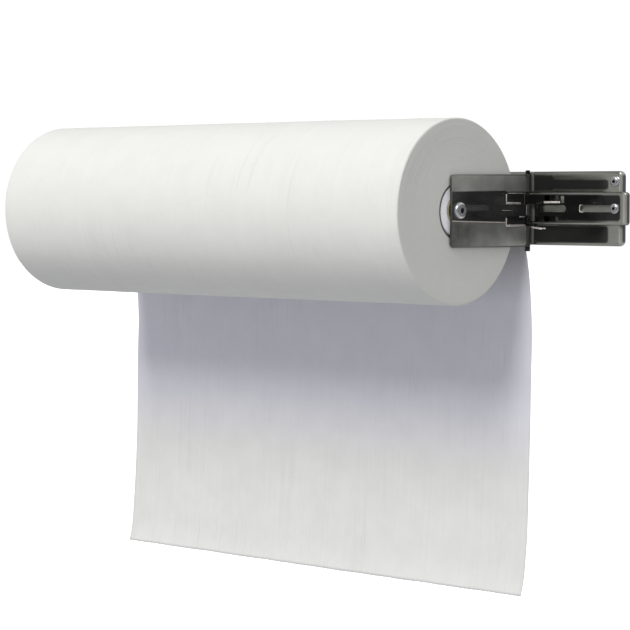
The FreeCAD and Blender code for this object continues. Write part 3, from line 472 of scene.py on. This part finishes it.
def tissue_surface(tree):
    """What the roll's outside and the hanging length share. Returns the tone of its marks, with painted
    shade along the creases.
    """
    pulp = tree.noise(tree.place, 1500.0, 4.0, 0.7)
    cloud = tree.noise(tree.place, 34.0, 5.0, 0.65)
    streaks = tree.noise(tree.scaled((420, 9, 9)), 1.0, 4.0)
    bands = tree.noise(tree.scaled((34, 1.4, 1.4)), 1.0, 2.0)
    crease = tree.ramp(tree.maths("ABSOLUTE", tree.maths("SUBTRACT", bands, 0.5)), 1, 0, 0.0, 0.008)
    broken = tree.ramp(tree.noise(tree.scaled((9, 16, 16)), 1.0, 2.0), 0, 1, 0.42, 0.62)
    crease = tree.maths("MULTIPLY", crease, broken)
    tree.bump(cloud, 5e-4)
    tree.bump(streaks, 9e-5)
    tree.bump(crease, 2.2e-4)
    tree.bump(pulp, 5e-5)
    mixed = tree.maths("ADD", tree.maths("MULTIPLY", cloud, 0.6), tree.maths("MULTIPLY", streaks, 0.4))
    tone = tree.ramp(mixed, 0, 1, *MIXED_RANGE)
    # Painted shade: darker along the creases.
    return tree.maths("SUBTRACT", tone, tree.maths("MULTIPLY", crease, CREASE_SHADE))


def tissue_outside():
    """The outermost turn of the roll."""
    tree = Tree("tissue_outside", Roughness=0.95, Specular_IOR_Level=0.15, Sheen_Weight=0.08)
    tree.colour(tree.blend(tissue_surface(tree), *ROLL_TONES))
    return tree.material


def tissue_ends():
    """The cut edges of the turns: fine rings, broken by short radial marks from the saw."""
    tree = Tree("tissue_ends", Roughness=1.0, Specular_IOR_Level=0.1)
    _, turns, radius = round_the_axis(tree)
    rings = tree.noise(tree.join(tree.maths("MULTIPLY", radius, 900.0), turns), 1.0, 5.0, 0.7)
    saw_place = tree.join(tree.maths("MULTIPLY", radius, 25.0), tree.maths("MULTIPLY", turns, 90.0))
    saw = tree.noise(saw_place, 1.0, 4.0)
    pulp = tree.noise(tree.place, 1400.0, 4.0, 0.7)
    mottle = tree.noise(tree.place, 46.0, 5.0, 0.7)
    mixed = tree.maths("ADD", tree.maths("MULTIPLY", rings, 0.3), tree.maths("MULTIPLY", saw, 0.3))
    mixed = tree.maths("ADD", mixed, tree.maths("MULTIPLY", mottle, 0.4))
    tone = tree.ramp(mixed, 0, 1, *MIXED_RANGE)
    tree.colour(tree.blend(tone, (0.872, 0.880, 0.812, 1), (0.925, 0.933, 0.866, 1)))
    near_core = tree.ramp(radius, 1, 0.25, 30 * MM, 52 * MM)
    tree.bump(rings, 0.8e-4)
    tree.bump(tree.maths("MULTIPLY", saw, near_core), 2.4e-4)
    tree.bump(pulp, 5e-5)
    return tree.material


def tissue_sheet():
    """The hanging length: a painted bluish shadow of the roll on its upper part, paler towards the left,
    neutral lower down, and painted shade behind the hinges.
    """
    tree = Tree("tissue_sheet", Roughness=0.95, Specular_IOR_Level=0.15, Sheen_Weight=0.05)
    tone = tissue_surface(tree)
    along, _, height = tree.split(tree.place)
    lower = tree.ramp(height, 1, 0, -0.235, -0.175)
    paper = tree.blend(tone, (0.780, 0.780, 0.768, 1), (0.850, 0.850, 0.838, 1))
    # Painted shadow of the roll: bluish on the upper part, paler towards the left end.
    painted_shadow = tree.blend(tone, (0.855, 0.855, 0.930, 1), (0.910, 0.910, 0.985, 1))
    far_end = tree.ramp(along, 1, 0, -0.18, 0.16)
    painted_shadow = tree.times(painted_shadow, tree.blend(far_end, grey(0.97), grey(1.0)))
    # Painted shade behind the hinges.
    behind = tree.ramp(height, 0, 1, -0.085, -0.03)
    painted_shadow = tree.blend(behind, painted_shadow, SHEET_HINGE_SHADE)
    leaving = tree.ramp(height, 0, 1, 0.0, 0.016)
    painted_shadow = tree.blend(leaving, painted_shadow, tree.blend(tone, *ROLL_TONES))
    tree.colour(tree.blend(lower, painted_shadow, paper))
    return tree.material


MATERIALS = {
    "rail_metal": rolled_nickel("rail_nickel", RAIL_REFLECTION_BANDS, RAIL_FACE, rail_high, 3.6 * MM, 0.06, 0.5),
    "arm_metal": satin_steel(),
    "strip_metal": black_strip(),
    "bright_zinc": bright_zinc(),
    "grey_zinc": grey_zinc(),
    "dark_steel": dark_steel(),
    "yellow_zinc": yellow_zinc(),
    "brass": turned_brass(),
    "white_plastic": white_plastic(),
    "card": wound_card(),
    "tissue_roll": tissue_outside(),
    "tissue_sheet": tissue_sheet(),
}
TISSUE_ENDS = tissue_ends()
CARRIAGE_NICKEL = rolled_nickel(
    "carriage_nickel", CARRIAGE_REFLECTION_BANDS, CARRIAGE_FACE, carriage_high, 4.0 * MM, 0.04, 0.0
)
LIP_HIGHLIGHT = lip_highlight()
OWN_MATERIALS = {
    "carriage": CARRIAGE_NICKEL,
    "axle_screw": screw_zinc("axle_screw_right", (0, 1, 1)),
    "end_screw": screw_zinc("end_screw_right", (1, 0, 1)),
    "clamp_screw": screw_zinc("clamp_screw_right", (1, 0, 1)),
}


def dress_cad_nodes():
    """Give every CAD node the material of its slot, or the one made for this piece alone."""
    for part in frame["record"]["subparts"]:
        mesh = frame["nodes"][part["node"]].data
        mesh.materials.clear()
        piece = part["node"].rsplit("_", 1)[0]
        mesh.materials.append(OWN_MATERIALS.get(piece, MATERIALS[part["material_slot"]]))


# ---- the roll -----------------------------------------------------------------------------------

ROLL_SEGMENTS = 256
END_RINGS = 64
END_ROUNDING = 1.6 * MM
SURFACE_STEPS = 90


def new_object(name, mesh_builder, *materials):
    """A smooth-shaded mesh object from a bmesh."""
    mesh = bpy.data.meshes.new(name)
    mesh_builder.normal_update()
    mesh_builder.to_mesh(mesh)
    mesh_builder.free()
    for material in materials:
        mesh.materials.append(material)
    for face in mesh.polygons:
        face.use_smooth = True
    piece = bpy.data.objects.new(name, mesh)
    bpy.context.scene.collection.objects.link(piece)
    return piece


def end_profile(rng):
    """One end of the roll, from the core outwards, as (outward step, radius, is it the cut end)."""
    outermost = ROLL_RADIUS - END_ROUNDING
    points = []
    for ring in range(END_RINGS + 1):
        share = ring / END_RINGS
        radius = CORE_RADIUS + (outermost - CORE_RADIUS) * share
        if 0 < ring < END_RINGS:
            radius += rng.uniform(-0.3, 0.3) * (outermost - CORE_RADIUS) / END_RINGS
        dish = -0.35 * MM * math.sin(math.pi * share) ** 2
        points.append((dish + rng.uniform(-0.05, 0.03) * MM, radius, True))
    for step in range(1, 6):
        turn = step / 6 * math.pi / 2
        sink = END_ROUNDING * (1 - math.cos(turn))
        points.append((-sink, outermost + END_ROUNDING * math.sin(turn), step < 3))
    return points


def roll_profile():
    """The roll's section, from the core round both ends and along the outside: (x, radius, cut end)."""
    rng = random.Random(11)
    right = [(ROLL_END + step, radius, cut) for step, radius, cut in end_profile(rng)]
    left = [(-ROLL_END - step, radius, cut) for step, radius, cut in end_profile(rng)]
    outside = []
    for step in range(1, SURFACE_STEPS):
        x = (ROLL_END - END_ROUNDING) * (1 - 2 * step / SURFACE_STEPS)
        ripple = rng.uniform(-0.05, 0.05) * MM
        outside.append((x, ROLL_RADIUS + ripple, False))
    return right + outside + left[::-1]


def make_roll():
    """The wound paper: a slightly uneven outside, and ends whose turns stand a little in and out."""
    profile = roll_profile()
    builder = bmesh.new()
    rings = []
    for x, radius, cut in profile:
        ring = []
        for segment in range(ROLL_SEGMENTS):
            turn = math.tau * segment / ROLL_SEGMENTS
            direction = Vector((0, math.cos(turn), math.sin(turn)))
            place = direction * radius
            if cut:
                wander = noise.noise(Vector((radius * 320, direction.y * 2.0, direction.z * 2.0 + x)))
                push, lift = wander * 0.10 * MM * math.copysign(1, x), 0.0
            else:
                wander = noise.noise(Vector((x * 9, direction.y * 1.6, direction.z * 1.6)))
                push, lift = 0.0, wander * 0.35 * MM
            ring.append(builder.verts.new(AXIS + Vector((x + push, 0, 0)) + place + direction * lift))
        rings.append(ring)
    for index, (ring, following) in enumerate(zip(rings, rings[1:] + rings[:1])):
        cut = profile[index][2] and profile[(index + 1) % len(profile)][2]
        for segment in range(ROLL_SEGMENTS):
            beside = (segment + 1) % ROLL_SEGMENTS
            corners = ring[segment], ring[beside], following[beside], following[segment]
            builder.faces.new(corners).material_index = 1 if cut else 0
    bmesh.ops.recalc_face_normals(builder, faces=builder.faces)
    roll = new_object("wound_tissue", builder, MATERIALS["tissue_roll"], TISSUE_ENDS)
    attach(roll, "roll")
    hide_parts("paper_roll")


# ---- the hanging length of paper ----------------------------------------------------------------

SHEET_WIDTH = 0.500
SHEET_LENGTH = 0.372
SHEET_THICKNESS = 0.22 * MM
LEAVE_ANGLE = math.radians(20.5)
TUCK_ANGLE = math.radians(14)
SHEET_LIFT = 0.45 * MM
SHEET_COLUMNS = 200
SHEET_ROWS = 150
PIN_ROOM = 2.0 * MM
RIGHT_FLARE = 4.5 * MM
LEFT_FLARE = 2.5 * MM
LEFT_SWING = 4.0 * MM

# The section below the roll: bent down, nearly straight, slightly curled, and curled at the torn edge.
# Each stretch has its length and how much it turns for each metre.
STRETCHES = ((0.160, 2.46), (0.134, 0.0), (0.054, 1.1), (SHEET_LENGTH, 9.0))


def outwards(angle):
    """The unit vector in the YZ plane at this angle above +Y."""
    return Vector((0, math.cos(angle), math.sin(angle)))


def downwards(angle):
    """The direction in which the paper runs where its outward normal has this angle."""
    return Vector((0, math.sin(angle), -math.cos(angle)))


def sheet_line(distance):
    """A point of the sheet's section, this far below where it leaves the roll, and its outward normal."""
    if distance < 0:
        angle = LEAVE_ANGLE - distance / ROLL_RADIUS
        sink = 2 * SHEET_LIFT * (-distance / (TUCK_ANGLE * ROLL_RADIUS))
        return AXIS + (ROLL_RADIUS + SHEET_LIFT - sink) * outwards(angle), outwards(angle)
    angle = LEAVE_ANGLE
    place = AXIS + (ROLL_RADIUS + SHEET_LIFT) * outwards(angle)
    for length, bend in STRETCHES:
        step = min(distance, length)
        if bend:
            place -= (outwards(angle) - outwards(angle - step * bend)) / bend
        else:
            place += downwards(angle) * step
        angle -= step * bend
        distance -= step
    return place, outwards(angle)


def smooth_step(value):
    value = min(max(value, 0), 1)
    return value * value * (3 - 2 * value)


def sheet_flare(side, distance):
    """How far a free edge stands out sideways and to the front. Behind the hinge it stands in a little."""
    free = smooth_step((distance - 0.02) / 0.07)
    flare = RIGHT_FLARE if side > 0 else -LEFT_FLARE
    sideways = (flare * free - math.copysign(PIN_ROOM, side)) * abs(side) ** 3
    return Vector((sideways, -LEFT_SWING * free * (1 - side) / 2, 0))


def sheet_wave(x, distance):
    """How far the paper stands off its section: slack waves that grow downwards, and flutes along it."""
    free = min(max(distance / SHEET_LENGTH, 0), 1)
    slack = noise.noise(Vector((x * 5.5, distance * 4.0, 3.1))) * 2.6 * MM
    ripple = noise.noise(Vector((x * 26, distance * 5.0, 8.7))) * 0.7 * MM
    flute = noise.noise(Vector((x * 130, distance * 3.0, 1.9))) * 0.12 * MM
    return (slack + ripple) * free ** 1.3 + flute * min(free * 6, 1)


def make_sheet():
    """The hanging length, from where it is tucked against the roll to its torn edge."""
    builder = bmesh.new()
    tuck = TUCK_ANGLE * ROLL_RADIUS
    grid = []
    for row in range(SHEET_ROWS + 1):
        distance = -tuck + (SHEET_LENGTH + tuck) * row / SHEET_ROWS
        place, normal = sheet_line(distance)
        along = sheet_line(distance + MM)[0] - place
        line = []
        for column in range(SHEET_COLUMNS + 1):
            side = 2 * column / SHEET_COLUMNS - 1
            edge = noise.noise(Vector((side * 3, distance * 14, 5.5))) * 0.8 * MM * side ** 2
            x = side * (SHEET_WIDTH / 2 - 0.4 * MM) + edge * min(max(distance * 20, 0), 1)
            point = place + Vector((x, 0, 0)) + normal * sheet_wave(x, distance)
            point += sheet_flare(side, distance)
            if row == SHEET_ROWS:
                tooth = 0.35 * MM * (column % 2) + 0.5 * MM * noise.noise(Vector((x * 40, 2.2, 0)))
                point += along.normalized() * tooth
            line.append(builder.verts.new(point))
        grid.append(line)
    for upper, lower in zip(grid, grid[1:]):
        for column in range(SHEET_COLUMNS):
            builder.faces.new((upper[column], lower[column], lower[column + 1], upper[column + 1]))
    builder.normal_update()
    bmesh.ops.solidify(builder, geom=builder.faces[:], thickness=SHEET_THICKNESS)
    bmesh.ops.recalc_face_normals(builder, faces=builder.faces)
    sheet = new_object("hanging_paper", builder, MATERIALS["tissue_sheet"])
    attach(sheet, "rail")
    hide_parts("hanging_sheet")


# ---- painted highlights on the lips of the pressed openings, and painted reflections on the rail ---

LIP_SIDES = 10
LIP_CORNER = 0.9 * MM
LIP_CORNER_STEPS = 5
LIP_TIP = 0.25

# How far the middle of a lip lies behind its face, and half of how thick the lip is.
ARM_LIP_DEPTH, ARM_LIP_HEIGHT = 0.4 * MM, 0.55 * MM
CARRIAGE_LIP_DEPTH, CARRIAGE_LIP_HEIGHT = 0.1 * MM, 0.14 * MM
RAIL_LIP_DEPTH, RAIL_LIP_HEIGHT = 0.15 * MM, 0.4 * MM


def bar_along(builder, points, width, height, out):
    """An oval bar along the points, this wide and twice this high, with tapered ends."""
    rings = []
    for index, point in enumerate(points):
        before, after = points[max(index - 1, 0)], points[min(index + 1, len(points) - 1)]
        across = (after - before).normalized().cross(out)
        size = LIP_TIP if index in (0, len(points) - 1) else 1.0
        ring = []
        for side in range(LIP_SIDES):
            turn = math.tau * side / LIP_SIDES
            offset = across * math.cos(turn) * width / 2 + out * math.sin(turn) * height
            ring.append(builder.verts.new(point + offset * size))
        rings.append(ring)
    for ring, following in zip(rings, rings[1:]):
        for side in range(LIP_SIDES):
            beside = (side + 1) % LIP_SIDES
            builder.faces.new((ring[side], ring[beside], following[beside], following[side]))
    builder.faces.new(rings[0][::-1])
    builder.faces.new(rings[-1])


def rounded_path(corners, radius):
    """The corners joined by straight runs, with each inner corner rounded.

    Long runs get a point near each end, so that the bend doesn't twist them.
    """
    path = [corners[0]]
    for before, corner, after in zip(corners, corners[1:], corners[2:]):
        start = corner + (before - corner).normalized() * radius
        end = corner + (after - corner).normalized() * radius
        for step in range(LIP_CORNER_STEPS + 1):
            share = step / LIP_CORNER_STEPS
            path.append(start * (1 - share) ** 2 + corner * 2 * share * (1 - share) + end * share ** 2)
    path.append(corners[-1])
    points = []
    for first, second in zip(path, path[1:]):
        points.append(first)
        run = second - first
        if run.length > 4 * radius:
            points.append(first + run.normalized() * radius / 2)
            points.append(second - run.normalized() * radius / 2)
    return points + [path[-1]]


def make_lips(name, body, material, side, out, paths):
    """Bars on one face: painted highlights, painted reflections, and the window-end stops. Each path has a
    width, a height and corners for the holder's right-hand end.
    """
    builder = bmesh.new()
    flip = Vector((side, 1, 1))
    for width, height, corners in paths:
        placed = [Vector(corner) * flip for corner in corners]
        bar_along(builder, rounded_path(placed, LIP_CORNER), width, height, out * flip)
    bmesh.ops.recalc_face_normals(builder, faces=builder.faces)
    lips = new_object(name, builder, material)
    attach(lips, body)


def arm_lip(width, corners):
    """One painted highlight bar on the arm's outer face. The corners are (distance from the wall, height),
    all in mm.
    """
    face = STRIP_HIGH.x - ARM_LIP_DEPTH
    return width * MM, ARM_LIP_HEIGHT, [(face, -out * MM, level * MM) for out, level in corners]


def front_lip(width, height, y, corners):
    """One bar on a front face, used for painted highlights, painted reflections and stops. The corners are
    (distance past the roll's end, height) in mm.
    """
    return width * MM, height, [(ROLL_END + past * MM, y, level * MM) for past, level in corners]


def carriage_lip(width, corners):
    return front_lip(width, CARRIAGE_LIP_HEIGHT, CARRIAGE_FACE + CARRIAGE_LIP_DEPTH, corners)


# A painted reflection bar on the rail's front face.
def rail_lip(width, corners):
    return front_lip(width, RAIL_LIP_HEIGHT, RAIL_FACE + RAIL_LIP_DEPTH, corners)


# Painted highlights along the arm's window lips, and painted highlight lines on its face and hinge
# knuckle.
ARM_LIP_HIGHLIGHTS = (
    arm_lip(1.9, ((40.4, 12.6), (40.4, 4.5), (20.0, 4.5))),
    arm_lip(0.5, ((38.0, 13.2), (15.5, 13.2))),
    arm_lip(1.9, ((40.4, -8.2), (40.4, -15.0), (13.0, -15.0))),
    arm_lip(0.8, ((22.0, -7.4), (14.5, -7.4))),
    arm_lip(0.4, ((47.0, -1.6), (31.5, -1.8))),
    arm_lip(0.5, ((11.8, 2.2), (11.8, -5.4))),
)
# Painted highlights on the carriage's window lip and round the end of a slot.
CARRIAGE_LIP_HIGHLIGHTS = (
    carriage_lip(2.0, ((19.2, 5.2), (37.2, 5.2))),
    carriage_lip(1.0, ((60.8, 3.2), (58.0, 2.9), (57.7, -2.5), (59.6, -3.2), (61.8, -3.2))),
)
# Painted reflections: bright wedges on the rail's face, just under the carriage.
RAIL_REFLECTIONS = (
    rail_lip(1.0, ((0.5, -16.0), (10.0, -16.9), (19.0, -17.9))),
    rail_lip(1.2, ((3.0, -16.9), (9.5, -17.6), (15.0, -18.3))),
)
CARRIAGE_STOPS = (carriage_lip(4.2, ((39.8, 11.0), (39.8, 4.4))),)


def make_all_lips():
    right, front = Vector((1, 0, 0)), Vector((0, -1, 0))
    zinc = MATERIALS["grey_zinc"]
    for end, side in (("right", 1), ("left", -1)):
        arm, carriage = f"{end}_arm", f"{end}_carriage"
        for name, body, slot, material, out, paths in (
            ("arm_window_lip_highlights", arm, "arm_metal", LIP_HIGHLIGHT, right, ARM_LIP_HIGHLIGHTS),
            ("carriage_lip_highlights", carriage, "rail_metal", LIP_HIGHLIGHT, front, CARRIAGE_LIP_HIGHLIGHTS),
            ("rail_reflections", "rail", "rail_metal", LIP_HIGHLIGHT, front, RAIL_REFLECTIONS),
            ("window_end", carriage, "grey_zinc", zinc, front, CARRIAGE_STOPS),
        ):
            make_lips(f"{name}_{end}", body, material, side, out, paths)


# ---- studio -------------------------------------------------------------------------------------

CAMERA_PLACE = Vector((1.4926, -1.6346, 0.0134))
CAMERA_YAW = math.radians(42.58)
CAMERA_PITCH = math.radians(3.012)
CAMERA_LENS = 132.5
FLOOR_DROP = 0.9
FLOOR_RADIUS = 40.0
KEY_DIRECTION = Vector((0.05, -0.72, 0.68))
KEY_STRENGTH = 1.9
KEY_ANGLE = math.radians(28)

# How bright the mirrored room is, as (position, level): from below to above, and from front to back.
ROOM_BY_HEIGHT = ((0, 0.45), (0.30, 0.35), (0.42, 0.05), (0.60, 0.05), (0.74, 0.30), (1, 0.40))
ROOM_BY_DEPTH = ((0, 0.0), (0.62, 0.0), (0.80, 0.40), (1, 0.5))
SEEN_STRENGTH = 1.05
FILL_STRENGTH = 0.43


def make_camera():
    camera = bpy.data.objects.new("camera", bpy.data.cameras.new("camera"))
    camera.data.sensor_width = 36
    camera.data.lens = CAMERA_LENS
    camera.data.clip_end = 200
    camera.location = CAMERA_PLACE
    camera.rotation_euler = Euler((math.pi / 2 - CAMERA_PITCH, 0, CAMERA_YAW))
    bpy.context.scene.collection.objects.link(camera)
    bpy.context.scene.camera = camera


def make_key_light():
    """One big soft light, up in front."""
    key = bpy.data.objects.new("key", bpy.data.lights.new("key", "SUN"))
    key.data.energy = KEY_STRENGTH
    key.data.angle = KEY_ANGLE
    key.data.color = (1.0, 0.998, 0.965)
    key.rotation_euler = KEY_DIRECTION.to_track_quat("Z", "Y").to_euler()
    bpy.context.scene.collection.objects.link(key)


def make_floor():
    """A plain pale floor, well below the holder, which hangs on a wall."""
    tree = Tree("pale_floor", Roughness=1.0, Specular_IOR_Level=0.0)
    tree.shader.inputs["Base Color"].default_value = grey(0.9)
    tree.shader.inputs["Emission Color"].default_value = grey(1.0)
    tree.shader.inputs["Emission Strength"].default_value = 0.8
    builder = bmesh.new()
    bmesh.ops.create_circle(builder, cap_ends=True, radius=FLOOR_RADIUS, segments=96)
    floor = new_object("floor", builder, tree.material)
    floor.location.z = cad_box[0].z - FLOOR_DROP
    floor.visible_glossy = False
    floor.visible_diffuse = False


def make_world():
    """White to the camera, even light on the paper, a dark room with a pale far side in the metal."""
    world = bpy.data.worlds.new("studio")
    world.use_nodes = True
    nodes, links = world.node_tree.nodes, world.node_tree.links
    output = nodes["World Output"]
    seen = nodes["Background"]
    seen.inputs["Color"].default_value = (1, 1, 1, 1)
    seen.inputs["Strength"].default_value = SEEN_STRENGTH
    filling = nodes.new("ShaderNodeBackground")
    filling.inputs["Color"].default_value = (0.985, 0.985, 1.03, 1)
    filling.inputs["Strength"].default_value = FILL_STRENGTH
    mirrored = nodes.new("ShaderNodeBackground")
    mirrored.inputs["Strength"].default_value = 1.0

    place = nodes.new("ShaderNodeTexCoord").outputs["Generated"]
    split = nodes.new("ShaderNodeSeparateXYZ")
    links.new(place, split.inputs[0])

    def level(socket, stops):
        ramp = nodes.new("ShaderNodeValToRGB")
        ramp.color_ramp.elements[0].position, ramp.color_ramp.elements[1].position = 0, 1
        for position, value in stops[1:-1]:
            ramp.color_ramp.elements.new(position).color = (value, value, value, 1)
        ramp.color_ramp.elements[0].color = (stops[0][1],) * 3 + (1,)
        ramp.color_ramp.elements[-1].color = (stops[-1][1],) * 3 + (1,)
        half = nodes.new("ShaderNodeMath")
        half.operation = "MULTIPLY_ADD"
        half.inputs[1].default_value = 0.5
        half.inputs[2].default_value = 0.5
        links.new(socket, half.inputs[0])
        links.new(half.outputs[0], ramp.inputs[0])
        return ramp.outputs["Color"]

    height = level(split.outputs["Z"], ROOM_BY_HEIGHT)
    far_side = level(split.outputs["Y"], ROOM_BY_DEPTH)
    add = nodes.new("ShaderNodeMix")
    add.data_type = "RGBA"
    add.blend_type = "ADD"
    add.inputs[0].default_value = 1.0
    links.new(height, add.inputs[6])
    links.new(far_side, add.inputs[7])
    links.new(add.outputs[2], mirrored.inputs["Color"])

    path = nodes.new("ShaderNodeLightPath")
    by_gloss = nodes.new("ShaderNodeMixShader")
    links.new(path.outputs["Is Glossy Ray"], by_gloss.inputs[0])
    links.new(filling.outputs[0], by_gloss.inputs[1])
    links.new(mirrored.outputs[0], by_gloss.inputs[2])
    by_sight = nodes.new("ShaderNodeMixShader")
    links.new(path.outputs["Is Camera Ray"], by_sight.inputs[0])
    links.new(by_gloss.outputs[0], by_sight.inputs[1])
    links.new(seen.outputs[0], by_sight.inputs[2])
    links.new(by_sight.outputs[0], output.inputs["Surface"])
    bpy.context.scene.world = world


make_camera()
make_key_light()
make_floor()
make_world()
bpy.context.scene.view_settings.view_transform = "Standard"

dress_cad_nodes()
make_roll()
make_sheet()
make_all_lips()
